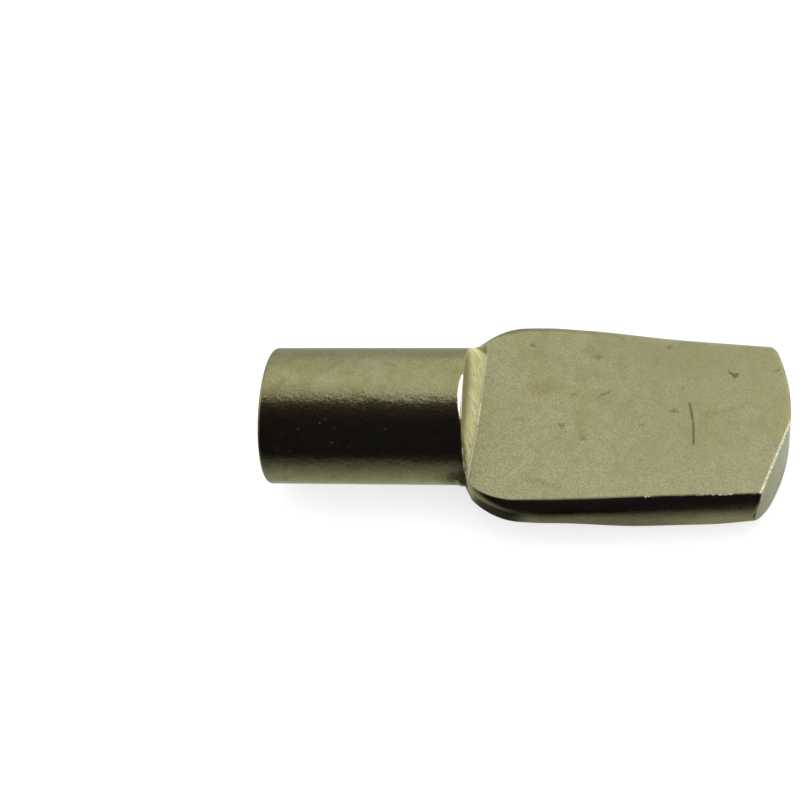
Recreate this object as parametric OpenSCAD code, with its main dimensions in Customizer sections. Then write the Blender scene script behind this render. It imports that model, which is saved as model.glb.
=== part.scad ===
// Spoon-pattern shelf support pin: one piece of plated steel wire, cropped to length and then pressed.
// A round shank plugs into the hole in a cabinet side, and a shelf rests on the flat of the pressed blade.
// +X runs along the pin from the shank's cropped end to the blade's tip, and +Z is up out of the seat.
// The origin is on the shank's axis, in the plane where the shank ends and the blade's root starts.

/* [Shank] */
// Diameter of the round shank
shank_d = 6.35; // [5:0.05:7]
// Length of the shank, from its cropped end to the blade's root
shank_l = 9.3; // [7:0.1:14]
// Rounding that cropping left on the shank's end rim
rim_r = 0.25; // [0.1:0.05:0.5]
// Lean of the cropped end, in degrees: its -Y side reaches further
crop_lean = 2.8; // [0:0.1:4]

/* [Step] */
// Distance from the shank's end to the foot of the step, at the middle of the seat
step_l = 0.42; // [0.4:0.01:0.6]
// Turn of the step's foot in plan, in degrees: its +Y end lies further out
step_turn = 3.9; // [0:0.1:4]
// How much further the -Y half of the step's foot is turned, in degrees
step_kink = 2.6; // [0:0.1:2.8]

/* [Blade] */
// Length of the blade, from its root to the furthest point of its tip
blade_l = 14.6; // [11:0.1:20]
// Thickness of the blade
blade_t = 2.8; // [2.4:0.05:3.1]
// Height of the seat above the shank's axis
seat_z = 0.1; // [-0.2:0.05:0.4]
// Width of the seat at its widest, just past the shoulders
seat_w = 8.3; // [7.6:0.1:10]
// How much each edge of the seat draws in towards the tip, in degrees
edge_taper = 3.5; // [0:0.1:5]
// Turn of the whole blade in plan, in degrees: its tip lies towards -Y
blade_turn = 1.2; // [0:0.1:2]
// Distance from the root to the point on the axis that the blade is turned about
turn_at = 5; // [0:0.5:8]

/* [Shoulders and sides] */
// Radius of each shoulder in plan
shoulder_r = 3; // [1.5:0.1:5]
// Length over which the round section turns into the pressed one
shoulder_l = 4; // [3:0.1:5]
// How far the sides bulge past the edges of the seat
side_bulge = 0.68; // [0.4:0.02:0.8]
// Radius of the roll under the seat's edge, near the shoulders
roll_root_r = 0.9; // [0.85:0.05:1.2]
// Radius of the roll under the seat's edge, near the tip
roll_tip_r = 1.7; // [1.2:0.05:1.9]
// Radius of the roll over the underside's edge, at the shoulders
under_root_r = 1.7; // [1.2:0.05:1.8]
// Radius of the roll over the underside's edge, in the middle of the blade
under_mid_r = 0.9; // [0.8:0.05:1.2]
// How steeply that roll meets the underside in the middle of the blade, in degrees
under_crease = 14; // [0:1:20]

/* [Tip] */
// Radius of the tip's arc in plan
tip_r = 7.6; // [6:0.1:12]
// How far towards +Y the centre of the tip's arc lies
tip_shift = 0.35; // [0:0.05:0.6]
// How far past the tip the slanting cut's line in the seat crosses the axis
slant_at = 0.1; // [0:0.02:0.3]
// Turn in plan of the slanting cut on the -Y half of the tip, in degrees
slant_turn = 21; // [16:0.5:24]
// Lean of the slanting cut, in degrees: it takes more off the seat's edge than off the underside
slant_lean = 7.5; // [4:0.2:14]

/* [Hidden] */
$fn = 96;
shank_r = shank_d / 2;
// Low collar that the dies leave round the blade's root
collar_h = 0.04;
collar_l = 0.3;
root_r = shank_r + collar_h;
// What a cutter reaches past the stock that it cuts
spare = 2;
under_z = seat_z - blade_t;

// The shoulder is an arc in plan that starts at the shank and runs into the tapering edge
root_half = sqrt(root_r * root_r - seat_z * seat_z);
flare = seat_w / 2 - root_half;
shoulder_x = sqrt(2 * shoulder_r * flare - flare * flare);
edge_x = shoulder_x + shoulder_r * sin(edge_taper);
edge_half = seat_w / 2 - shoulder_r * (1 - cos(edge_taper));

// The roll that would take the whole thickness in one arc is the largest that fits
full_roll_r = (blade_t * blade_t / 4 + side_bulge * side_bulge) / (2 * side_bulge);
// Share of the room for a roll that it may take
room_share = 0.97;
// Where the roll under the seat's edge starts to change, and where it has
roll_from = blade_l * 0.38;
roll_to = blade_l * 0.7;
// Where the roll over the underside's edge starts to sharpen, and where it has
sharp_from = blade_l * 0.24;
sharp_to = blade_l * 0.55;
// Where it opens again towards the tip, and by what share
open_from = blade_l * 0.75;
open_to = blade_l * 0.945;
open_share = 0.6;

// The pressed section starts quickly: its share after the quick start, in the upper roll and in the lower one
quick_share = 0.35;
quick_low_share = 0.6;
// Length of the quick start, and how the rest of the way eases out
quick_l = 0.35;
ease = 1.5;
// Steps past the flank over which the upper roll's start turns into the lower one's
low_steps = 3;
// Length over which the blade's turn comes in
turn_l = 3;

// Angles on the round root, from the top, that the parts of the pressed section grow out of
seat_angle = acos(seat_z / root_r);
roll_end_angle = 104;
flank_end_angle = 110;
under_angle = 150;

// Steps of the blade's surface: across half the seat, round a roll, across half the underside,
// down the step and along the blade; those along the shoulders crowd towards the root
seat_steps = 10;
roll_steps = 8;
under_steps = 4;
step_steps = 2;
shoulder_steps = 14;
edge_steps = 12;
shoulder_crowding = 1.4;
// The step round the half section that lies on the flank
flank_step = seat_steps + roll_steps;

function mix(a, b, t) = a + (b - a) * t;
function clamp(t) = min(max(t, 0), 1);
function soft_step(t) = clamp(t) * clamp(t) * (3 - 2 * clamp(t));

// How far step i round the half section belongs to the lower roll
function lowness(i) = soft_step((i - flank_step) / low_steps);

// Share of the pressed section at x: it starts sooner in the lower roll, and is whole past the shoulders
function pressed(i, x) =
    let (
        run = clamp((x + collar_l * lowness(i)) / shoulder_l),
        start = mix(quick_share, quick_low_share, lowness(i)) * clamp(run * shoulder_l / quick_l)
    )
    1 - (1 - start) * pow(1 - run, ease);

// Half width of the seat at x
function seat_half(x) =
    x < edge_x
    ? seat_w / 2 - shoulder_r + sqrt(shoulder_r * shoulder_r - pow(x - shoulder_x, 2))
    : edge_half - (x - edge_x) * tan(edge_taper);

// Radius of the roll under the seat's edge at x
function roll_r(x) =
    min(
        mix(roll_root_r, roll_tip_r, soft_step((x - roll_from) / (roll_to - roll_from))),
        room_share * full_roll_r
    );

// How far the roll over the underside's edge has turned into the sharper one at x
function sharpness(x) =
    soft_step((x - sharp_from) / (sharp_to - sharp_from))
    - open_share * soft_step((x - open_from) / (open_to - open_from));

// Share of the half width of the seat, at each step across it
function seat_share(i) = sin(mix(0, seat_angle, i / seat_steps)) / sin(seat_angle);

// Half of the pressed section at x, as [y, z] from the seat's middle round to the underside's middle
function pressed_half(x) =
    let (
        half = seat_half(x),
        upper_r = roll_r(x),
        exit = asin(1 - side_bulge / upper_r),
        crease = under_crease * sharpness(x),
        room = room_share * (blade_t - upper_r * cos(exit)) / cos(crease),
        lower_r = min(mix(under_root_r, under_mid_r, sharpness(x)), room),
        widest = half + side_bulge,
        under_half = widest - lower_r * (1 - sin(crease))
    )
    concat(
        [for (i = [0:seat_steps - 1]) [half * seat_share(i), seat_z]],
        [for (i = [0:roll_steps]) let (a = mix(exit, 90, i / roll_steps))
            [widest - upper_r * (1 - sin(a)), seat_z - upper_r * (cos(exit) - cos(a))]],
        [for (i = [0:roll_steps]) let (a = mix(90, 180 - crease, i / roll_steps))
            [widest - lower_r * (1 - sin(a)), under_z + lower_r * (cos(crease) + cos(a))]],
        [for (i = [1:under_steps]) [under_half * (1 - i / under_steps), under_z]]
    );

// The matching points on the round root
root_half_section =
    let (
        angles = concat(
            [for (i = [0:seat_steps - 1]) mix(0, seat_angle, i / seat_steps)],
            [for (i = [0:roll_steps]) mix(seat_angle, roll_end_angle, i / roll_steps)],
            [for (i = [0:roll_steps]) mix(flank_end_angle, under_angle, i / roll_steps)],
            [for (i = [1:under_steps]) mix(under_angle, 180, i / under_steps)]
        )
    )
    [for (a = angles) [root_r * sin(a), root_r * cos(a)]];
last_point = len(root_half_section) - 1;

// How far a point of the foot's ring lies along the pin from the foot's middle
function foot_offset(y) = y * tan(step_turn) + min(y, 0) * (tan(step_turn + step_kink) - tan(step_turn));

// Share of the blade's turn at x
function turn_share(x) = 1 - pow(1 - clamp(x / turn_l), 2);

// A point of the blade's skin at x: i counts round the half section, and side is 1 for +Y and -1 for -Y
function skin(i, side, x) =
    let (
        from = root_half_section[i],
        to = pressed_half(x)[i],
        share = pressed(i, x),
        y = side * mix(from[0] * seat_half(x) / root_half, to[0], share),
        z = i <= seat_steps ? seat_z : mix(from[1], to[1], share)
    )
    [x, y + turn_share(x) * tan(blade_turn) * (turn_at - x), z];

// The same point on a ring of the blade; the rings turn from the step's foot to square across
function blade_point(i, side, x) =
    let (
        y = side * min(pressed_half(x)[i][0], seat_half(x)),
        turned = 1 - soft_step((x - step_l) / shoulder_l)
    )
    skin(i, side, x + turned * foot_offset(y));

// A point on the way from the shank's end to the step's foot: straight down the step, or round the root
function step_point(i, side, t) =
    let (
        root = root_half_section[i],
        start = [0, side * root[0], root[1]],
        foot = blade_point(i, side, step_l)
    )
    i <= seat_steps ? mix(start, foot, t) : skin(i, side, t * foot[0]);

// The points of one ring, from the middle of the seat round by +Y, the underside and -Y
function ring(half_ring) =
    concat(half_ring[0], [for (i = [last_point - 1:-1:1]) half_ring[1][i]]);

// The pressed stock of the blade, with the step and the collar at its root, from its root to past the tip
module blade_stock() {
    ends = [0:last_point];
    collar = [for (side = [1, -1]) [for (i = ends)
        [-collar_l, side * root_half_section[i][0], root_half_section[i][1]]]];
    stations = concat(
        [for (i = [0:shoulder_steps - 1])
            mix(step_l, shoulder_l, pow(i / shoulder_steps, shoulder_crowding))],
        [for (i = [0:edge_steps]) mix(shoulder_l, blade_l + spare / 4, i / edge_steps)]
    );
    rings = concat(
        [ring(collar)],
        [for (t = [0:step_steps - 1]) ring([for (side = [1, -1]) [for (i = ends)
            step_point(i, side, t / step_steps)]])],
        [for (x = stations) ring([for (side = [1, -1]) [for (i = ends) blade_point(i, side, x)]])]
    );
    count = len(rings[0]);
    last = len(rings) - 1;
    polyhedron(
        points = [for (r = rings) each r],
        faces = concat(
            [[for (j = [count - 1:-1:0]) j]],
            [for (j = [1:count - 2])
                [for (k = [0, j, j + 1]) last * count + (flank_step + k) % count]],
            [for (i = [0:last - 1]) for (j = [0:count - 1])
                let (k = (j + 1) % count)
                [i * count + j, i * count + k, (i + 1) * count + k, (i + 1) * count + j]]
        ),
        convexity = 4
    );
}

// What is outside the tip's arc
module tip_cutter() {
    centre_x = blade_l - tip_r;
    difference() {
        translate([blade_l - tip_r / 2, -seat_w, under_z - spare])
            cube([tip_r, 2 * seat_w, blade_t + 2 * spare]);
        translate([centre_x, tip_shift, under_z - 2 * spare])
            cylinder(r = tip_r, h = blade_t + 4 * spare);
    }
}

// The slanting cut over the tip's -Y half, placed by its edge in the seat
module slant_cutter() {
    translate([blade_l + slant_at, 0, seat_z])
        rotate([0, 0, -slant_turn])
        rotate([0, -slant_lean, 0])
        translate([0, -seat_w, -blade_t - spare])
            cube([spare, seat_w + spare, blade_t + 2 * spare]);
}

module blade() {
    difference() {
        blade_stock();
        tip_cutter();
        slant_cutter();
    }
}

// What is outside the cropped end of the shank
module crop_cutter() {
    crop_depth = 1;
    rim_gap = 0.05;
    translate([-shank_l, 0, 0])
        rotate([0, 0, -crop_lean])
        difference() {
            translate([-spare, -shank_d, -shank_d])
                cube([spare + crop_depth / 2, 2 * shank_d, 2 * shank_d]);
            rotate([0, 90, 0])
                rotate_extrude()
                rounded_profile(shank_r + rim_gap, crop_depth, rim_r);
        }
}

// Half of a disc's section, with its lower outer corner rounded
module rounded_profile(r, h, corner_r) {
    union() {
        translate([0, corner_r])
            square([r, h - corner_r]);
        square([r - corner_r, h]);
        translate([r - corner_r, corner_r])
            circle(r = corner_r);
    }
}

// The round shank, which runs on inside the collar
module shank() {
    difference() {
        translate([-shank_l - spare / 2, 0, 0])
            rotate([0, 90, 0])
            cylinder(r = shank_r, h = shank_l + spare / 2 - collar_l / 2);
        crop_cutter();
    }
}

// The whole pin, in one piece
module shelf_pin() {
    color([0.62, 0.61, 0.46])
    union() {
        shank();
        blade();
    }
}

shelf_pin();
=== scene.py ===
import math

import bmesh
import bpy
from mathutils import Matrix, Vector


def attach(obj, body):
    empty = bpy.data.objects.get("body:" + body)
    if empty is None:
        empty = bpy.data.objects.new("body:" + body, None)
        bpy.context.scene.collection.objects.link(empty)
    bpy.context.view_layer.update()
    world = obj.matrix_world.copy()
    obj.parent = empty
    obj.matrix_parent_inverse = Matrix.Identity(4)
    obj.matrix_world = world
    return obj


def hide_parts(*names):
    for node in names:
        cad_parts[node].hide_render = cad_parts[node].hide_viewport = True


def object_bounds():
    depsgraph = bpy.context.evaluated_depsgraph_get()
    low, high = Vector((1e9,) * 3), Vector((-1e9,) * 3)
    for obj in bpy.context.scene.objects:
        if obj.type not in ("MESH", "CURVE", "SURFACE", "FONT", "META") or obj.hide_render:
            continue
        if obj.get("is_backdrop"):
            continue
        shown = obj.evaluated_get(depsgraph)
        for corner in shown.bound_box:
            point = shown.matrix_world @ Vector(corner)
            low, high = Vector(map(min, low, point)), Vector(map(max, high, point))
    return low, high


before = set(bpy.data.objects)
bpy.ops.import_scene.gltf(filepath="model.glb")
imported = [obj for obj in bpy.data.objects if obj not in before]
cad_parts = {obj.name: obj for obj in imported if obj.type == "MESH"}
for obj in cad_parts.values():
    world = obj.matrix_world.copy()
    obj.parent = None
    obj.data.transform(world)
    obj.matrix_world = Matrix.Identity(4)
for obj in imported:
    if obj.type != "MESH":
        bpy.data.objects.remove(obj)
cad_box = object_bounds()

# All sizes and places are in millimetres, and MM turns them into the scene's metres.
MM = 0.001

# Shank: round, cropped at its far end
SHANK_R = 3.175
SHANK_L = 9.3
# Share of the shank's length over which it meets the crest or the collar
SHANK_LIP = 0.03
RIM_R = 0.2
CROP_LEAN = math.radians(2.8)
# Distance from the rim to the innermost ring of the cropped face
CROP_RING = 0.6

# Step between the shank and the seat
STEP_L = 0.42
STEP_TURN = math.radians(3.9)
STEP_KINK = math.radians(2.6)
FOOT_SETBACK = 0.035

# Crest of the step: a small rounding, and a worn bevel over its middle
CREST_SETBACK = 0.1
CREST_BEVEL = 0.11
CREST_DROP = 0.075
WORN_Y = -0.25
WORN_HALF = 1.1

# Blade: pressed flat, with rolled sides
BLADE_L = 14.6
BLADE_T = 2.8
SEAT_Z = 0.1
UNDER_Z = SEAT_Z - BLADE_T
SEAT_W = 8.3
EDGE_TAPER = math.radians(3.5)
EDGE_SETBACK = 0.045
BLADE_TURN = math.radians(1.2)
TURN_AT = 5.0
TURN_L = 3.0
ROOT_R = SHANK_R + 0.05
COLLAR_L = 0.3

# Shoulders and sides
SHOULDER_R = 3.0
SHOULDER_L = 4.0
SIDE_BULGE = 0.68
ROLL_ROOT_R = 0.9
ROLL_TIP_R = 1.7
ROLL_FROM = BLADE_L * 0.38
ROLL_TO = BLADE_L * 0.7
UNDER_ROOT_R = 1.7
UNDER_MID_R = 0.9
UNDER_CREASE = math.radians(14)
SHARP_FROM = BLADE_L * 0.24
SHARP_TO = BLADE_L * 0.55
OPEN_FROM = BLADE_L * 0.75
OPEN_TO = BLADE_L * 0.945
OPEN_SHARE = 0.6
ROOM_SHARE = 0.97

# The pressed section starts quickly, sooner and stronger in the lower roll, and eases out
QUICK_SHARE = 0.35
QUICK_LOW_SHARE = 0.6
QUICK_L = 0.35
EASE = 1.5

# Tip: an arc, with a slanting cut over its -Y half
TIP_R = 7.6
TIP_SHIFT = 0.35
TIP_EDGE = 0.09
SLANT_AT = 0.1
SLANT_TURN = math.radians(21)
SLANT_LEAN = math.radians(7.5)
# A ring this far inside the rim of an end face keeps the face's shading flat
HOLD = 0.04

# Columns of the skin from the middle of the seat round to the middle of the underside
TOP_COLUMNS = 24
EDGE_COLUMNS = 4
ROLL_COLUMNS = 14
LOW_COLUMNS = 0.4 * ROLL_COLUMNS
FLANK_COLUMN = TOP_COLUMNS + EDGE_COLUMNS + ROLL_COLUMNS

# Angles on the round section, from the top, that the parts of the pressed section grow out of
SEAT_ANGLE = math.acos(SEAT_Z / ROOT_R)
EDGE_GAP = math.radians(1.5)
ROLL_END = math.radians(104)
LOW_ROLL_START = math.radians(107)
LOW_ROLL_END = math.radians(150)
UNDER_START = math.radians(153)
RIGHT_ANGLE = math.pi / 2

# The shoulder is an arc in plan that starts at the shank and runs into the tapering edge
ROOT_HALF = math.sqrt(ROOT_R ** 2 - SEAT_Z ** 2)
FLARE = SEAT_W / 2 - ROOT_HALF
SHOULDER_X = math.sqrt(2 * SHOULDER_R * FLARE - FLARE ** 2)
EDGE_X = SHOULDER_X + SHOULDER_R * math.sin(EDGE_TAPER)
EDGE_HALF = SEAT_W / 2 - SHOULDER_R * (1 - math.cos(EDGE_TAPER))

# Colours of the plating, and of the painted shade and painted light on the seat
PLATING = (0.36, 0.342, 0.165)
PLATING_PALE = (0.4, 0.387, 0.23)
BLOTCH_DARK = (0.26, 0.25, 0.125)
BLOTCH_LIGHT = (0.42, 0.41, 0.25)
SEAT_PAINTED_SHADE = (0.28, 0.27, 0.135)
SEAT_PAINTED_LIGHT = (0.455, 0.44, 0.265)
SPECK = (0.235, 0.227, 0.118)
SHEEN = (0.72, 0.74, 0.65)

# Colours of its wear, with painted shade, painted glints and painted highlights among them
STAIN = (0.24, 0.205, 0.075)
PIT = (0.13, 0.12, 0.07)
SCRATCH = (0.11, 0.075, 0.04)
TORN = (0.60, 0.55, 0.25)
TORN_BRIGHT = (0.78, 0.73, 0.40)
STEP_TOP_PAINTED_SHADE = (0.25, 0.2, 0.09)
TORN_DOT = (0.06, 0.05, 0.03)
STEP_PAINTED_GLINT = (1, 0.98, 0.85)
BURNISHED_AND_HIGHLIGHT = (0.95, 0.95, 0.92)
PAINTED_EDGE_HIGHLIGHT = (0.95, 0.92, 0.74)
FLECK_AND_GLINT = (0.85, 0.82, 0.62)

# Marks on the seat, in plan. A spot has its place, half sizes and strength; a stroke has its two ends,
# half width and strength.
PITS = [
    ((2.8, 3.55), (0.15, 0.15), 1),
    ((9.1, 3.45), (0.15, 0.15), 1),
    ((5.85, 2.95), (0.2, 0.15), 1),
    ((9.4, 0.25), (0.25, 0.2), 1),
    ((9.75, 1.45), (0.1, 0.1), 1),
    ((4.2, -0.45), (0.25, 0.15), 1),
    ((5.2, -1.1), (0.15, 0.15), 1),
    ((13.95, 2.3), (0.15, 0.1), 1),
    ((4.7, 1.1), (0.2, 0.1), 0.7),
    ((2.3, -0.2), (0.25, 0.1), 0.6),
    ((7.85, -2.1), (0.15, 0.15), 0.6),
    ((5.5, 3.55), (0.4, 0.2), 0.4),
]
NICKS = [
    ((5.9, 1), (6.45, 1.3), 0.1, 1),
    ((7.75, -0.5), (8.05, -0.3), 0.07, 1),
]
GOUGE_RUN = [((11.8, 2.25), (12.05, 2.05), 0.13, 1)]
GOUGE_END = [((12.1, 2.05), (0.2, 0.15), 1)]
SCRATCH_RUN = [((10.1, 0.7), (10.3, -1.35), 0.09, 1)]
STAIN_SPOTS = [((3.2, 1.4), (0.9, 0.45), 1)]
STAIN_RUNS = [
    ((2.6, -2.9), (3.2, -3.2), 0.3, 1),
    ((3.2, -3.2), (4.3, -3.5), 0.22, 1),
    ((5.1, 3.3), (5.9, 3.1), 0.3, 0.7),
    ((10.5, 0.2), (11.6, 0.25), 0.14, 1),
    ((11.6, 0.25), (12.8, 0.75), 0.12, 1),
]

# Painted glints and dark dots on the step's face, seen along the pin, in the same form
GLINT_SPOTS = [
    ((0.25, 0.15), (0.1, 0.15), 1),
    ((-2.5, 1.95), (0.2, 0.3), 1),
    ((-2.9, 1.3), (0.15, 0.3), 1),
    ((-3.05, 0.45), (0.15, 0.3), 1),
]
GLINT_RUNS = [
    ((0.35, 2.05), (0.35, 1.15), 0.09, 1),
    ((0.55, 1.55), (0.4, 0.8), 0.09, 1),
    ((0, 1.4), (-0.2, 0.55), 0.15, 1),
    ((-0.65, 0.4), (-0.2, 0.15), 0.1, 1),
]
DOTS = [
    ((1.45, 1.45), (0.1, 0.15), 1),
    ((0.3, 0.3), (0.1, 0.1), 1),
    ((-1.75, 0.7), (0.1, 0.2), 1),
    ((-0.55, 0.5), (0.1, 0.1), 1),
]


def mix(a, b, t):
    return a + (b - a) * t


def clamp(t):
    return min(max(t, 0.0), 1.0)


def soft_step(t):
    t = clamp(t)
    return t * t * (3 - 2 * t)


def spread(a, b, count, first=0):
    """Evenly spaced values from a to b, in count steps, without those before the first."""
    return [mix(a, b, i / count) for i in range(first, count + 1)]


def bend(a, corner, b, t):
    """A point on the soft bend from a to b round a corner."""
    return a * (1 - t) ** 2 + corner * 2 * t * (1 - t) + b * t * t


def lowness(place):
    """How far a column belongs to the lower roll."""
    return soft_step((place - FLANK_COLUMN) / LOW_COLUMNS)


def pressed(place, x):
    """Share of the pressed section at x."""
    low = lowness(place)
    run = max(x + COLLAR_L * low, 0)
    start = mix(QUICK_SHARE, QUICK_LOW_SHARE, low) * clamp(run / QUICK_L)
    return 1 - (1 - start) * (1 - clamp(run / SHOULDER_L)) ** EASE


def seat_half(x):
    """Half width of the seat at x: a round shoulder, then a straight edge that draws in."""
    if x < EDGE_X:
        return SEAT_W / 2 - SHOULDER_R + math.sqrt(SHOULDER_R ** 2 - (x - SHOULDER_X) ** 2)
    return EDGE_HALF - (x - EDGE_X) * math.tan(EDGE_TAPER)


def roll_r(x):
    """Radius of the roll under the seat's edge at x."""
    return mix(ROLL_ROOT_R, ROLL_TIP_R, soft_step((x - ROLL_FROM) / (ROLL_TO - ROLL_FROM)))


def sharpness(x):
    """How far the roll over the underside's edge has turned into the sharper one at x."""
    sharp = soft_step((x - SHARP_FROM) / (SHARP_TO - SHARP_FROM))
    return sharp - OPEN_SHARE * soft_step((x - OPEN_FROM) / (OPEN_TO - OPEN_FROM))


SEAT_SHARES = [math.sin(a) / math.sin(SEAT_ANGLE) for a in spread(0, SEAT_ANGLE, TOP_COLUMNS)]


def pressed_half(x):
    """Half of the pressed section as (y, z), from the middle of the seat to the middle of the underside."""
    half, upper_r, sharp = seat_half(x), roll_r(x), sharpness(x)
    leave, crease = math.asin(1 - SIDE_BULGE / upper_r), UNDER_CREASE * sharp
    room = ROOM_SHARE * (BLADE_T - upper_r * math.cos(leave))
    lower_r = min(mix(UNDER_ROOT_R, UNDER_MID_R, sharp), room)
    widest = half + SIDE_BULGE
    under_half = widest - lower_r * (1 - math.sin(crease))

    def upper(angle):
        y = widest - upper_r * (1 - math.sin(angle))
        return Vector((y, SEAT_Z - upper_r * (math.cos(leave) - math.cos(angle))))

    def lower(angle):
        y = widest - lower_r * (1 - math.sin(angle))
        return Vector((y, UNDER_Z + lower_r * (math.cos(crease) + math.cos(angle))))

    start = leave + EDGE_SETBACK / upper_r
    stop = math.pi - crease - EDGE_SETBACK / lower_r
    seat_edge, under_edge = Vector((half, SEAT_Z)), Vector((under_half, UNDER_Z))
    inner = Vector((under_half - EDGE_SETBACK, UNDER_Z))
    points = [Vector((share * (half - EDGE_SETBACK), SEAT_Z)) for share in SEAT_SHARES]
    points += [bend(points[-1], seat_edge, upper(start), t) for t in spread(0, 1, EDGE_COLUMNS, 1)]
    points += [upper(angle) for angle in spread(start, RIGHT_ANGLE, ROLL_COLUMNS, 1)]
    points += [lower(angle) for angle in spread(RIGHT_ANGLE, stop, ROLL_COLUMNS)]
    points += [bend(lower(stop), under_edge, inner, t) for t in spread(0, 1, EDGE_COLUMNS, 1)]
    return points + [inner.lerp(Vector((0, UNDER_Z)), t) for t in spread(0, 1, TOP_COLUMNS, 1)]


def round_half(radius):
    """The matching points on a round section."""
    parts = [
        spread(0, SEAT_ANGLE - EDGE_GAP, TOP_COLUMNS),
        spread(SEAT_ANGLE - EDGE_GAP, SEAT_ANGLE + EDGE_GAP, EDGE_COLUMNS, 1),
        spread(SEAT_ANGLE + EDGE_GAP, ROLL_END, ROLL_COLUMNS, 1),
        spread(LOW_ROLL_START, LOW_ROLL_END, ROLL_COLUMNS),
        spread(LOW_ROLL_END, UNDER_START, EDGE_COLUMNS, 1),
        spread(UNDER_START, math.pi, TOP_COLUMNS, 1),
    ]
    return [Vector((radius * math.sin(a), radius * math.cos(a))) for part in parts for a in part]


ROUND = round_half(SHANK_R)
ROOT = round_half(ROOT_R)
LAST = len(ROUND) - 1


def end_x(y, z):
    """Where the tip's end face lies at (y, z)."""
    arc = BLADE_L - TIP_R + math.sqrt(TIP_R ** 2 - (y - TIP_SHIFT) ** 2)
    lean = (SEAT_Z - z) * math.tan(SLANT_LEAN) / math.cos(SLANT_TURN)
    return min(arc, BLADE_L + SLANT_AT + y * math.tan(SLANT_TURN) + lean)


def crop_x(y):
    """Where the shank's cropped end lies at y."""
    return -SHANK_L + y * math.tan(CROP_LEAN)


def foot_offset(y):
    """How far a point of the foot's ring lies along the pin from the foot's middle."""
    kink = min(y, 0) * (math.tan(STEP_TURN + STEP_KINK) - math.tan(STEP_TURN))
    return y * math.tan(STEP_TURN) + kink


def turn_share(x):
    """Share of the blade's turn at x."""
    return 1 - (1 - clamp(x / TURN_L)) ** 2


def skin(place, side, x):
    """A point of the blade's skin: a column of the half section, on the +Y or the -Y side, at x."""
    share = pressed(place, x)
    root, flat = ROOT[place], pressed_half(max(x, 0))[place]
    y = side * mix(root.x * seat_half(max(x, 0)) / ROOT_HALF, flat.x, share)
    z = SEAT_Z if place <= TOP_COLUMNS else mix(root.y, flat.y, share)
    return Vector((x, y + turn_share(x) * math.tan(BLADE_TURN) * (TURN_AT - x), z))


def section(place, side, x):
    """The same point on a ring of the blade; the rings turn from the step's foot to square across."""
    y = side * min(pressed_half(x)[place].x, seat_half(x))
    turned = 1 - soft_step((x - STEP_L) / SHOULDER_L)
    return skin(place, side, x + turned * foot_offset(y))


def crest_frame(place, side):
    """The worn crest: where its bevel starts, its lip, the way down from it, and its rounding's size."""
    crest = Vector((0, side * ROUND[place].x, ROUND[place].y))
    worn = max(1 - ((crest.y - WORN_Y) / WORN_HALF) ** 2, 0)
    lip = crest - crest.normalized() * CREST_DROP * worn
    down = section(place, side, STEP_L) - lip
    size = min(CREST_SETBACK, 0.4 * down.length)
    start = crest - Vector((size + CREST_BEVEL * worn, 0, 0))
    return start, lip, down, size


def crest_point(place, side, t):
    """The bevelled and rounded edge between the shank and the step."""
    start, lip, down, size = crest_frame(place, side)
    slope = lip - start
    bevel_end = lip - slope.normalized() * min(size, 0.9 * slope.length)
    if t <= 0.5:
        return start.lerp(bevel_end, 2 * t)
    return bend(bevel_end, lip, lip + down.normalized() * size, 2 * t - 1)


def step_point(place, side, t):
    """The step's face and the small hollow at its foot."""
    _, lip, down, size = crest_frame(place, side)
    back = min(FOOT_SETBACK, 0.3 * down.length)
    foot = lip + down
    start, stop = lip + down.normalized() * size, foot - down.normalized() * back
    if t <= 1:
        return start.lerp(stop, t)
    return bend(stop, foot, foot + Vector((back, 0, 0)), t - 1)


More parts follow.
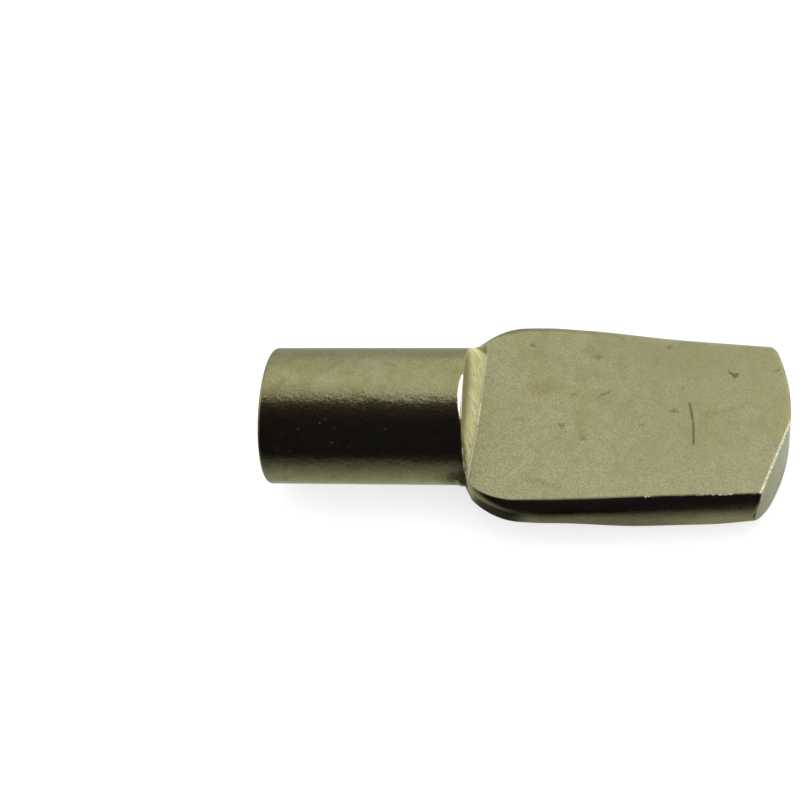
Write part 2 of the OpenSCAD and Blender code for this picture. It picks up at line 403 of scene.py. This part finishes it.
class Column:
    """One line of the skin along the pin, given by its place in the half section and its side."""

    def __init__(self, place, side):
        self.place = place
        self.side = side
        self.on_top = place <= TOP_COLUMNS
        self.x_tip = self.find_tip()

    def find_tip(self):
        """Where the column meets the tip's rounded edge, found by coming closer a few times."""
        x = BLADE_L
        for _ in range(6):
            point = section(self.place, self.side, x)
            x = end_x(point.y, point.z) - TIP_EDGE
        return x

    def outward(self, x):
        """Outward direction of the blade's section at x, across the pin."""
        before = section(max(self.place - 1, 0), self.side, x)
        after = section(min(self.place + 1, LAST), self.side, x)
        along = after - before
        return Vector((0, -along.z, along.y)).normalized() * self.side

    def crop(self, inset, angle):
        """The shank's cropped end and its rounded rim."""
        p = ROUND[self.place]
        r = 1 - (RIM_R * (1 - math.cos(angle)) + inset) / SHANK_R
        y, z = self.side * p.x * r, p.y * r
        return Vector((crop_x(y) + RIM_R * (1 - math.sin(angle)), y, z))

    def rim(self, angle):
        return self.crop(0, angle)

    def crop_face(self, inset):
        return self.crop(inset, RIGHT_ANGLE)

    def shank(self, t):
        """Along the shank, whose last stretch meets the crest or the collar."""
        p = ROUND[self.place]
        start = self.rim(0)
        if self.on_top:
            stop = crest_point(self.place, self.side, 0)
        else:
            stop = skin(self.place, self.side, -COLLAR_L)
        met = soft_step((t - 1 + SHANK_LIP) / SHANK_LIP)
        r = mix(SHANK_R, math.hypot(stop.y, stop.z), met)
        return Vector((mix(start.x, stop.x, t), self.side * p.x * r / SHANK_R, p.y * r / SHANK_R))

    def step(self, t):
        """Down the step: t is 0 to 1 over its crest, and on to 2 on its face and 3 in its foot."""
        if not self.on_top:
            foot = section(self.place, self.side, STEP_L + FOOT_SETBACK)
            return skin(self.place, self.side, mix(-COLLAR_L, foot.x, t / 3))
        if t <= 1:
            return crest_point(self.place, self.side, t)
        return step_point(self.place, self.side, t - 1)

    def blade(self, t):
        """Along the blade, from the step's foot to where the tip's edge starts."""
        return section(self.place, self.side, mix(STEP_L + FOOT_SETBACK, self.x_tip, t))

    def tip(self, angle, inset=0.0):
        """The rounded edge of the tip and the rim of its end face."""
        point = section(self.place, self.side, self.x_tip)
        point -= self.outward(self.x_tip) * (TIP_EDGE * (1 - math.cos(angle)) + inset)
        point.x = end_x(point.y, point.z) - TIP_EDGE * (1 - math.sin(angle))
        return point

    def tip_face(self, inset):
        return self.tip(RIGHT_ANGLE, inset)


def stations():
    """Every ring of the skin, from the middle of the cropped end to the rim of the tip's end face."""
    # Shares of the shank and of the blade at which their rings start to crowd, or have stopped
    neck, shoulders = 0.96, 0.26
    # A value on its own is a ring close beside a bend, which keeps the shading past the bend flat
    ways = [
        (Column.crop_face, [CROP_RING, HOLD]),
        (Column.rim, spread(RIGHT_ANGLE, 0, 8)),
        (Column.shank, [0.005] + spread(0, neck, 12, 1) + spread(neck, 1, 6, 1)),
        (Column.step, spread(0, 1, 10, 1)),
        (Column.step, [1.02] + spread(1, 2, 8, 1)),
        (Column.step, spread(2, 3, 6, 1)),
        (Column.blade, [0.003] + spread(0, shoulders, 30, 1)),
        (Column.blade, spread(shoulders, 0.99, 26, 1) + [1.0]),
        (Column.tip, spread(0, RIGHT_ANGLE, 7, 1)),
        (Column.tip_face, [HOLD]),
    ]
    return [(way, t) for way, values in ways for t in values]


def next_ring(bm, ring):
    """Extrudes a closed ring of vertices, and gives the new ring in the same order."""
    edges = [bm.edges.get(pair) for pair in zip(ring, ring[1:] + ring[:1])]
    made = set(bmesh.ops.extrude_edge_only(bm, edges=edges)["geom"])
    return [next(e.other_vert(v) for e in v.link_edges if e.other_vert(v) in made) for v in ring]


def close_tip(bm, ring):
    """Upright strips between the two long edges of the tip's end face."""
    across = range(-TOP_COLUMNS, TOP_COLUMNS + 1)
    top = [ring[i % len(ring)] for i in across]
    under = [ring[(LAST + i) % len(ring)] for i in across]
    chains = [bm.edges.get(pair) for chain in (top, under) for pair in zip(chain, chain[1:])]
    bmesh.ops.bridge_loops(bm, edges=chains)


def pin_mesh():
    """The pin's skin: a ring that is drawn along the pin, station by station, and closed at both ends."""
    columns = [Column(i, 1) for i in range(LAST + 1)] + [Column(i, -1) for i in range(LAST - 1, 0, -1)]
    bm = bmesh.new()
    bmesh.ops.create_circle(bm, cap_ends=False, radius=SHANK_R, segments=len(columns))
    ring = list(bm.verts)
    for number, (way, t) in enumerate(stations()):
        if number > 0:
            ring = next_ring(bm, ring)
        for vert, column in zip(ring, columns):
            vert.co = way(column, t)
    close_tip(bm, ring)
    bmesh.ops.holes_fill(bm, edges=[e for e in bm.edges if e.is_boundary], sides=0)
    bmesh.ops.recalc_face_normals(bm, faces=bm.faces)
    bmesh.ops.scale(bm, vec=(MM, MM, MM), verts=bm.verts)
    for face in bm.faces:
        face.smooth = True
    return bm


def place_object(name, bm, material):
    """Turns a bmesh into an object of the scene, with its material."""
    mesh = bpy.data.meshes.new(name)
    bm.to_mesh(mesh)
    bm.free()
    mesh.materials.append(material)
    placed = bpy.data.objects.new(name, mesh)
    bpy.context.scene.collection.objects.link(placed)
    return placed


class Value:
    """A number, colour or vector on its way through a material's nodes."""

    def __init__(self, tree, socket):
        self.tree = tree
        self.socket = socket

    def math(self, kind, *others):
        return maths(self.tree, kind, self, *others)

    def __add__(self, other):
        return self.math("ADD", other)

    def __sub__(self, other):
        return self.math("SUBTRACT", other)

    def __rsub__(self, other):
        return maths(self.tree, "SUBTRACT", other, self)

    def __mul__(self, other):
        return self.math("MULTIPLY", other)

    def __truediv__(self, other):
        return self.math("DIVIDE", other)

    def __rtruediv__(self, other):
        return maths(self.tree, "DIVIDE", other, self)

    def __pow__(self, other):
        return self.math("POWER", other)

    __radd__ = __add__
    __rmul__ = __mul__

    def limited(self, low, high):
        return self.math("MAXIMUM", low).math("MINIMUM", high)

    def ramp(self, low, high):
        """0 below low, 1 above high, and soft between."""
        settings = {"interpolation_type": "SMOOTHSTEP"}
        return node(self.tree, "MapRange", settings, {"Value": self, "From Min": low, "From Max": high})


def node(tree, kind, settings=None, inputs=None, output=0):
    """Adds a node: its settings first, then the values or links of its sockets."""
    made = tree.nodes.new("ShaderNode" + kind)
    for name, value in (settings or {}).items():
        setattr(made, name, value)
    for key, value in (inputs or {}).items():
        socket = made.inputs[key]
        if isinstance(value, Value):
            tree.links.new(value.socket, socket)
        else:
            socket.default_value = value
    return Value(tree, made.outputs[output]) if made.outputs else None


def maths(tree, kind, *values):
    return node(tree, "Math", {"operation": kind}, dict(enumerate(values)))


def mixed(tree, share, under, over):
    """A colour with another laid over it, as far as the share says."""
    # The Mix node repeats its socket names for each type, so the colour's sockets go by number
    under, over = (c if isinstance(c, Value) else (*c, 1) for c in (under, over))
    return node(tree, "Mix", {"data_type": "RGBA"}, {0: share, 6: under, 7: over}, 2)


def scaled(tree, vector, size):
    return node(tree, "VectorMath", {"operation": "SCALE"}, {0: vector, "Scale": size})


def place_in_mm(tree):
    """The place on the object, in millimetres."""
    return scaled(tree, node(tree, "TexCoord", output="Object"), 1 / MM)


def along_axes(tree, place):
    """The x, y and z of a place."""
    return (node(tree, "SeparateXYZ", {}, {0: place}, axis) for axis in "XYZ")


def glow(tree, colour, level):
    """Light whose level changes from place to place, so the level goes into its colour."""
    return node(tree, "Emission", {}, {"Color": scaled(tree, colour, level)})


def new_material(name):
    material = bpy.data.materials.new(name)
    material.use_nodes = True
    material.node_tree.nodes.clear()
    return material


def show(tree, surface):
    node(tree, "OutputMaterial", {}, {"Surface": surface})


def spot(x, y, at, size):
    """A soft oval mark."""
    far = ((x - at[0]) / size[0]) ** 2 + ((y - at[1]) / size[1]) ** 2
    return 1 - far.ramp(0.2, 1.0)


def stroke(x, y, start, stop, width):
    """A soft straight mark."""
    length = math.dist(start, stop)
    along = ((stop[0] - start[0]) / length, (stop[1] - start[1]) / length)
    run = (x - start[0]) * along[0] + (y - start[1]) * along[1]
    off = ((x - start[0]) * along[1] - (y - start[1]) * along[0]).math("ABSOLUTE")
    across = 1 - off.ramp(0.3 * width, width)
    return across * run.ramp(-width, width) * (1 - run.ramp(length - width, length + width))


def spots(x, y, marks):
    return sum(strength * spot(x, y, at, size) for at, size, strength in marks)


def strokes(x, y, marks):
    return sum(strength * stroke(x, y, start, stop, width) for start, stop, width, strength in marks)


class PlatedSteel:
    """Nickel plating with a warm, yellow-green cast over pressed steel, built up layer by layer, with painted
    shade, painted highlights and painted glints among the layers.
    """

    def __init__(self, tree):
        self.tree = tree
        self.place = place_in_mm(tree)
        self.x, self.y, self.z = along_axes(tree, self.place)
        self.blotch = self.noise(1.7, 5.0)
        self.grain = self.noise(6.0, 4.0)
        self.speck = self.noise(12.0, 4.0)
        self.on_seat = self.z.ramp(SEAT_Z - 0.03, SEAT_Z - 0.005) * self.x.ramp(0.0, 0.2)
        self.on_shank = 1 - self.x.ramp(-0.3, 0)
        self.shade = PLATING

    def noise(self, scale, detail, stretch=(1, 1, 1)):
        stretched = node(self.tree, "VectorMath", {"operation": "MULTIPLY"}, {0: self.place, 1: stretch})
        inputs = {"Vector": stretched, "Scale": scale, "Detail": detail, "Roughness": 0.6}
        return node(self.tree, "TexNoise", {}, inputs)

    def paint(self, share, colour):
        """Lays a colour over the shade, as far as the share says."""
        self.shade = mixed(self.tree, share, self.shade, colour)

    def mottle(self):
        """Mottled plating; painted shade darkens the seat towards the tip and the far side, and painted light
        lightens it by the step and towards the near side.
        """
        x, y, blotch = self.x, self.y, self.blotch
        self.paint(self.noise(0.45, 3.0).ramp(0.35, 0.65), PLATING_PALE)
        self.paint(blotch.ramp(0.42, 0.75) * 0.7, BLOTCH_DARK)
        self.paint((1 - blotch.ramp(0.2, 0.45)) * 0.5, BLOTCH_LIGHT)
        # Painted shade towards the tip and the far side of the seat, painted light by the step and the near
        # side
        painted_shade = x.ramp(4, 9) * 0.4 + y.ramp(0.5, 3.5) * 0.3
        self.paint(painted_shade * self.on_seat, SEAT_PAINTED_SHADE)
        painted_light = (y * -1).ramp(0.5, 3.5) * 0.3 + (1 - x.ramp(0.5, 3.5)) * 0.35
        self.paint(painted_light * self.on_seat, SEAT_PAINTED_LIGHT)
        self.paint(self.speck.ramp(0.38, 0.62) * (self.on_seat * 0.25 + 0.42), SPECK)

    def mark_seat(self):
        """Stains, pits and a gouge with ragged outlines, and a smooth, curved scratch."""
        x = self.x + (self.noise(5.0, 3.0) - 0.5) * 0.5
        y = self.y + (self.noise(4.6, 3.0) - 0.5) * 0.5
        stains = spots(x, y, STAIN_SPOTS) + strokes(x, y, STAIN_RUNS)
        pits = spots(x, y, PITS) + strokes(x, y, NICKS)
        gouge = strokes(x, y, GOUGE_RUN) + spots(x, y, GOUGE_END)
        curve = self.x + (self.y + 0.35) ** 2 * 0.06
        scratch = strokes(curve, self.y, SCRATCH_RUN) * self.blotch.ramp(0.25, 0.5)
        stains = stains * self.on_seat * self.grain.ramp(0.25, 0.6)
        self.paint(stains.limited(0, 1) * 0.5, STAIN)
        self.paint((pits * self.on_seat * self.speck.ramp(0.25, 0.6)).limited(0, 1) * 0.7, PIT)
        self.paint(((gouge + scratch) * self.on_seat).limited(0, 1) * 0.75, SCRATCH)
        self.hollows = (pits * 0.3 + gouge + scratch) * self.on_seat

    def tear_step_and_paint_its_light(self):
        """The step's face is torn by the press: brighter, with upright streaks, dark dots and a dark ragged
        edge low on its near side; painted shade darkens its top, and painted glints lie on it.
        """
        tree, x, y, z = self.tree, self.x, self.y, self.z
        kink = y.math("MINIMUM", 0) * math.tan(STEP_KINK)
        self.past_foot = x - (STEP_L + y * math.tan(STEP_TURN) + kink)
        self.within = 1 - y.math("ABSOLUTE").ramp(3.0, 3.12)
        self.on_step = x.ramp(-0.06, 0.02) * (1 - self.past_foot.ramp(-0.05, 0.0))
        self.on_step = self.on_step * z.ramp(SEAT_Z, SEAT_Z + 0.1) * self.within
        streak = self.noise(1.6, 4.0, (1.0, 2.0, 1.0))
        # Darker along the step's edge by the crest, low on its near side
        dark_crest_edge = (1 - (x + (self.grain - 0.5) * 0.2).ramp(0.03, 0.09)) * (1 - y.ramp(-2.3, -1.7))
        dark = (spots(y, z, DOTS) * 0.6 + dark_crest_edge * 0.9).limited(0, 1)
        glints = (spots(y, z, GLINT_SPOTS) + strokes(y, z, GLINT_RUNS)).limited(0, 1)
        torn = mixed(tree, streak.ramp(0.35, 0.65), TORN, TORN_BRIGHT)
        # Painted shade, darker towards the top of the step's face
        torn = mixed(tree, z.ramp(1.4, 2.6) * 0.88, torn, STEP_TOP_PAINTED_SHADE)
        torn = mixed(tree, dark, torn, TORN_DOT)
        # Painted glints on the step's face
        torn = mixed(tree, glints * self.speck.ramp(0.3, 0.6) * 0.7, torn, STEP_PAINTED_GLINT)
        self.paint(self.on_step, torn)
        self.streaks = self.on_step * streak

    def burnish_and_highlight_crest(self):
        """The crest is burnished where it is worn; its near-white colour there is also a painted highlight.
        """
        worn = (1 - ((self.y - WORN_Y) / WORN_HALF) ** 2).limited(0, 1)
        on_bevel = (self.x + 0.06 + worn * 0.15).ramp(0, 0.05) * (1 - self.x.ramp(-0.03, 0.01))
        self.paint(on_bevel * worn.ramp(0, 0.3) * self.z.ramp(2.6, 2.8), BURNISHED_AND_HIGHLIGHT)

    def paint_edge_highlights(self):
        """Painted highlights along the edges of the step's foot and of the slanting cut."""
        x, y, z = self.x, self.y, self.z
        glint = spot(y, z, (0.1, 0.1), (0.6, 0.3))
        foot = 1 - (self.past_foot + 0.01).math("ABSOLUTE").ramp(0.02, 0.06)
        past_slant = x - (y * math.tan(SLANT_TURN) + BLADE_L + SLANT_AT)
        slant = (1 - (past_slant + 0.02).math("ABSOLUTE").ramp(0.04, 0.1)) * (1 - y.ramp(-0.2, 0.3))
        edges = foot * self.within * (0.35 + glint * 0.5) + slant * 0.8
        edges = edges * z.ramp(SEAT_Z - 0.12, SEAT_Z - 0.06) * (1 - z.ramp(0.3, 0.4))
        self.paint(edges.limited(0, 1) * self.speck.ramp(0.35, 0.55), PAINTED_EDGE_HIGHLIGHT)

    def scatter_flecks_and_glints(self):
        """Painted glints on the near edge of the seat, and a few pale specks over the shank."""
        x, y, z = self.x, self.y, self.z
        near_edge = z.ramp(SEAT_Z - 0.06, SEAT_Z - 0.03) * (1 - z.ramp(SEAT_Z - 0.01, SEAT_Z))
        near_edge = near_edge * (1 - y.ramp(-3.2, -3)) * self.grain.ramp(0.45, 0.6)
        by_tip, lone = x.ramp(9, 12) * 0.8, spot(x, y, (8.3, -3.9), (0.25, 0.4))
        over_shank = self.noise(7.0, 1.0).ramp(0.72, 0.8) * 0.25 * self.on_shank
        self.flecks_and_glints = (near_edge * (by_tip + lone) + over_shank).limited(0, 1)
        self.paint(self.flecks_and_glints, FLECK_AND_GLINT)

    def surface(self):
        height = self.grain + self.streaks * 2 - self.hollows
        dimples = self.blotch * 2.5 + self.grain * 0.5 + self.speck.ramp(0.6, 0.72)
        height = height + dimples * self.on_shank
        relief = {"Strength": 0.12, "Distance": 0.1 * MM, "Height": height}
        satin = 1 - self.on_step * 0.6 - self.on_seat * 0.4
        return node(self.tree, "BsdfPrincipled", {}, {
            "Base Color": self.shade,
            "Metallic": satin * (1 - self.flecks_and_glints * 0.7),
            "Specular Tint": (*SHEEN, 1),
            "Roughness": self.grain * 0.12 + 0.13 + self.on_step * 0.2 + self.on_seat * 0.12,
            "Normal": node(self.tree, "Bump", {}, relief),
        })


def plated_steel():
    material = new_material("plated_steel")
    steel = PlatedSteel(material.node_tree)
    steel.mottle()
    steel.mark_seat()
    steel.tear_step_and_paint_its_light()
    steel.burnish_and_highlight_crest()
    steel.paint_edge_highlights()
    steel.scatter_flecks_and_glints()
    show(material.node_tree, steel.surface())
    return material


def make_pin():
    pin = place_object("pin_skin", pin_mesh(), plated_steel())
    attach(pin, "root")
    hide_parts("shelf_pin")


def floor_reflection(x, y):
    """How light the floor is in reflections, as a painted reflection: painted shade towards the near side,
    and painted shadow under two corners.
    """
    by_blade, far = x.ramp(-2, 1), y.ramp(0, 3)
    near = (y * -1).math("MAXIMUM", 0) + (x * -0.5 - 5).math("MAXIMUM", 0)
    under_shank = 1 / ((near / 5.5) ** 1.75 + 1)
    under_blade = (x.ramp(8, 12) * 0.26 + 0.52) / ((near / 6.4) ** 3.3 + 1)
    # Painted shadow under the blade's root and under the tip's corner
    root_corner = spot(x, y, (0.3, -6), (2.4, 4.5)) * 0.85
    tip_corner = spot(x, y, (14.0, -5.0), (0.9, 0.7)) * 0.9
    near_level = (1 - by_blade) * under_shank + by_blade * under_blade
    near_level = near_level * (1 - (root_corner + tip_corner)) * (1 - far)
    far_level = far * (x.ramp(0, 8) * 0.34 + 0.66)
    return near_level + far_level + x.ramp(13, 15.5) * 0.12


def floor_material():
    """Pale and matt. The camera sees it white away from the pin; reflections see it as painted."""
    material = new_material("floor_white")
    tree = material.node_tree
    camera = node(tree, "LightPath", output="Is Camera Ray")
    glossy = node(tree, "LightPath", output="Is Glossy Ray")
    matt = node(tree, "BsdfDiffuse", {}, {"Color": (0.55, 0.55, 0.55, 1)})
    lifted = node(tree, "AddShader", {}, {0: matt, 1: glow(tree, (1, 1, 1), camera * 0.6)})
    x, y, _ = along_axes(tree, place_in_mm(tree))
    reflected = glow(tree, (1, 1, 1), floor_reflection(x, y))
    show(tree, node(tree, "MixShader", {}, {0: glossy, 1: lifted, 2: reflected}))
    return material


def make_floor(height):
    half = 1500 * MM
    bm = bmesh.new()
    bmesh.ops.create_grid(bm, x_segments=1, y_segments=1, size=half)
    bmesh.ops.translate(bm, vec=(0, 0, height), verts=bm.verts)
    place_object("floor", bm, floor_material())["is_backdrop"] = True


def arched_sheet(name, material, radius, low, high, start, stop):
    """A sheet bent round the pin's axis, which only reflections show.

    It runs from start to stop along the pin, and from the low angle over the -Y horizon to the high one.
    """
    low, high = math.radians(low), math.radians(high)
    y, z = -radius * math.cos(low), radius * math.sin(low)
    bm = bmesh.new()
    ends = [bm.verts.new(Vector((x, y, z)) * MM) for x in (start, stop)]
    edge = bm.edges.new(ends)
    bmesh.ops.spin(bm, geom=[edge, *ends], cent=(0, 0, 0), axis=(-1, 0, 0), angle=high - low, steps=40)
    sheet = place_object(name, bm, material)
    sheet.visible_camera = False
    sheet.visible_diffuse = False
    sheet.visible_shadow = False
    sheet.visible_transmission = False
    sheet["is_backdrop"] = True


def angle_round_pin(y, z):
    """The angle round the pin's axis in degrees, from the -Y horizon over the top."""
    return z.math("ARCTAN2", y * -1) * (180 / math.pi)


def make_dark_screen():
    """A dark half-round screen along the near side, which glows faintly and only reflections show: a painted
    reflection, a little warmer towards its upper edge.
    """
    material = new_material("dark_screen")
    tree = material.node_tree
    _, y, z = along_axes(tree, place_in_mm(tree))
    colour = mixed(tree, angle_round_pin(y, z).ramp(60, 96), (0.019, 0.017, 0.026), (0.06, 0.04, 0.052))
    show(tree, node(tree, "Emission", {}, {"Color": colour}))
    arched_sheet("dark_screen", material, radius=90, low=-1.5, high=96, start=-250, stop=250)


def make_grey_screen():
    """A glowing screen over the shank's end, which only reflections show: a painted reflection that pales
    from the dark screen's edge and fades out towards the blade.
    """
    material = new_material("grey_screen")
    tree = material.node_tree
    x, y, z = along_axes(tree, place_in_mm(tree))
    angle = angle_round_pin(y, z)
    rise = ((angle - 96) / 31).limited(0, 1)
    lit = glow(tree, (1, 0.98, 0.94), rise * 0.7 + 0.29 - angle.ramp(138, 158) * 0.23)
    clear = node(tree, "BsdfTransparent")
    show(tree, node(tree, "MixShader", {}, {0: x.ramp(-24, -17), 1: lit, 2: clear}))
    arched_sheet("grey_screen", material, radius=89.5, low=96, high=178, start=-250, stop=-10)


def make_crest_strip():
    """A bright strip beyond the tip, arched over the pin, that the step's worn crest reflects."""
    material = new_material("crest_light")
    tree = material.node_tree
    show(tree, node(tree, "Emission", {}, {"Color": (1.0, 0.98, 0.95, 1), "Strength": 5.0}))
    arched_sheet("crest_strip", material, radius=88, low=67, high=140, start=42, stop=54)


def light_world():
    world = bpy.data.worlds.new("studio")
    bpy.context.scene.world = world
    world.use_nodes = True
    tree = world.node_tree
    tree.nodes.clear()
    white = node(tree, "Background", {}, {"Color": (1, 1, 1, 1), "Strength": 1.0})
    node(tree, "OutputWorld", {}, {"Surface": white})


def hang_lamp():
    """One broad, soft lamp above the pin, which reflections don't show."""
    lamp = bpy.data.lights.new("soft_overhead", "AREA")
    lamp.shape = "DISK"
    lamp.size = 250 * MM
    lamp.energy = 0.25
    hung = bpy.data.objects.new("soft_overhead", lamp)
    place = Vector((50, 100, 300)) * MM
    hung.location = place
    hung.rotation_euler = (-place).to_track_quat("-Z", "Y").to_euler()
    hung.visible_glossy = False
    bpy.context.scene.collection.objects.link(hung)


def add_camera():
    """The camera looks down on the seat from the near side and a little from the tip's end."""
    turn, tilt, roll = math.radians(8.8), math.radians(23), 0.004
    aim, distance = Vector((-3.13, 0.623, 0)) * MM, 100.05 * MM
    back = Vector((math.sin(turn), -math.sin(tilt) * math.cos(turn), math.cos(tilt) * math.cos(turn)))
    right = (Vector((1, 0, 0)) - back * back.x).normalized()
    up = back.cross(right)
    right, up = right * math.cos(roll) + up * math.sin(roll), up * math.cos(roll) - right * math.sin(roll)
    camera = bpy.data.cameras.new("camera")
    camera.lens = 95.8
    camera.sensor_width = 36
    camera.clip_start = 1 * MM
    camera.clip_end = 10
    shown = bpy.data.objects.new("camera", camera)
    shown.matrix_world = Matrix((right, up, back)).transposed().to_4x4()
    shown.location = aim + back * distance
    bpy.context.scene.collection.objects.link(shown)
    bpy.context.scene.camera = shown


make_pin()
make_floor(min(cad_box[0].z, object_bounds()[0].z))
make_dark_screen()
make_grey_screen()
make_crest_strip()
light_world()
hang_lamp()
add_camera()
bpy.context.scene.view_settings.view_transform = "Standard"
